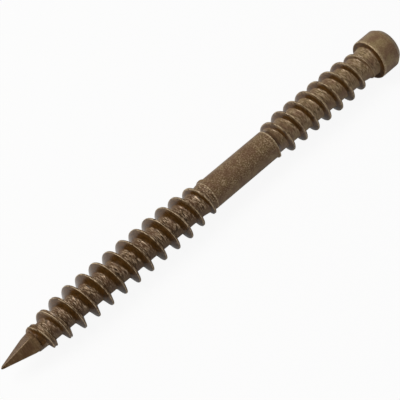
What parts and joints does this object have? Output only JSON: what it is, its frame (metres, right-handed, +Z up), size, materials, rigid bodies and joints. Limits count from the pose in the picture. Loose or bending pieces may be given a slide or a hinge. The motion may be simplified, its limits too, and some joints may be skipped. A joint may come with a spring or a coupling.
{
  "type": "deck screw",
  "caption": "Brown coated deck screw with a four-sided point, a deep joist thread, a plain shank, a shallower board thread and a small cylindrical head with a six-lobe socket.",
  "frame": {"origin": "middle of the screw's length, on the surface that it lies on, below its axis", "axes": "+X along the screw's axis from the tip to the head, +Z up from the surface that it lies on"},
  "size_m": [0.0636, 0.0054, 0.0054],
  "materials": {
    "coated_steel": "bronze-brown satin coating with a fine light speckle, over cold-formed steel"
  },
  "bodies": {
    "root": {"screw": "coated_steel"}
  },
  "joints": []
}
